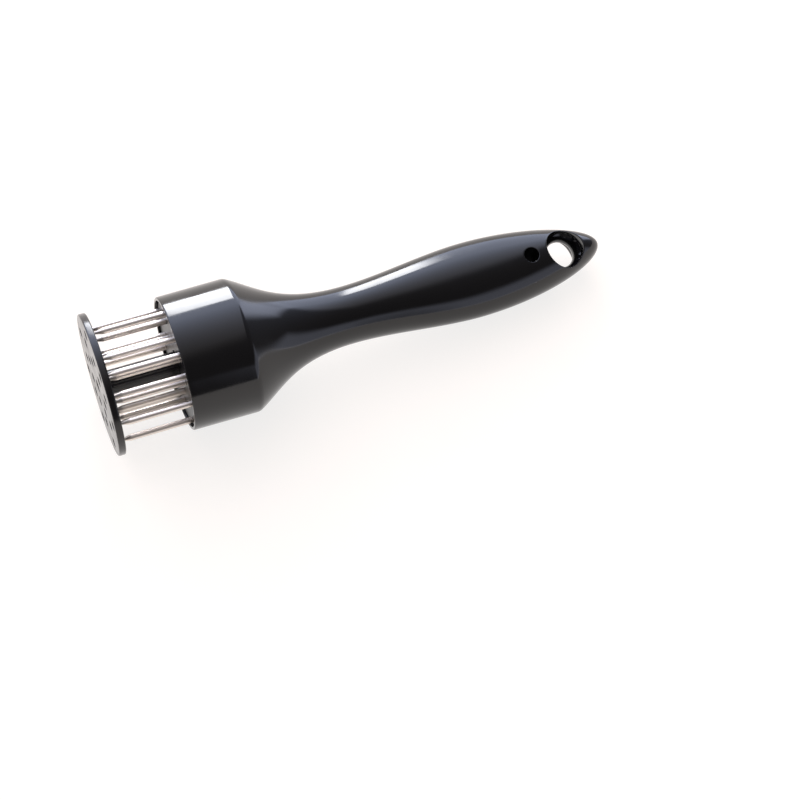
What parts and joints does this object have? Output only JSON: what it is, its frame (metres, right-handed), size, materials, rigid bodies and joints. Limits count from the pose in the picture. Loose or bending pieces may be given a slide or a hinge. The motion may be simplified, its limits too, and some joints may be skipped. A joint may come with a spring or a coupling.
{
  "type": "meat tenderizer",
  "caption": "Hand-held needle meat tenderizer: steel needles in a collar behind a sprung, perforated guard disc, with a straight oval grip and a hang hole.",
  "frame": {"origin": "centre of the guard disc's front face, with the guard at its extended stop", "axes": "+X along the tool from the guard to the handle's tip, +Z along the hang hole's axis, towards the side with the blind core hole; the tool lies on its side"},
  "size_m": [0.1865, 0.05, 0.05],
  "materials": {
    "handle_plastic": "polished injection-moulded black plastic",
    "guard_plastic": "injection-moulded black plastic",
    "holder_plastic": "injection-moulded black plastic",
    "needle_steel": "ground and polished stainless steel",
    "plate_steel": "plain stainless steel",
    "spring_steel": "drawn spring wire"
  },
  "bodies": {
    "handle_body": {"handle": "handle_plastic", "needle_holder": "holder_plastic", "backing_plate": "plate_steel", "return_spring": "spring_steel", "needle_inner_1": "needle_steel", "needle_inner_2": "needle_steel", "needle_inner_3": "needle_steel", "needle_inner_4": "needle_steel", "needle_inner_5": "needle_steel", "needle_inner_6": "needle_steel", "needle_inner_7": "needle_steel", "needle_middle_1": "needle_steel", "needle_middle_2": "needle_steel", "needle_middle_3": "needle_steel", "needle_middle_4": "needle_steel", "needle_middle_5": "needle_steel", "needle_middle_6": "needle_steel", "needle_middle_7": "needle_steel", "needle_outer_1": "needle_steel", "needle_outer_2": "needle_steel", "needle_outer_3": "needle_steel", "needle_outer_4": "needle_steel", "needle_outer_5": "needle_steel", "needle_outer_6": "needle_steel", "needle_outer_7": "needle_steel"},
    "guard_body": {"guard": "guard_plastic", "retaining_washer": "plate_steel", "retaining_screw": "plate_steel"}
  },
  "joints": [
    {"name": "guard_slide", "type": "slide", "parent": "handle_body", "child": "guard_body", "axis": [1, 0, 0], "range_m": [0, 0.024], "stiffness_N_per_m": 400, "springref_m": -0.01, "deforming": ["return_spring"]}
  ]
}
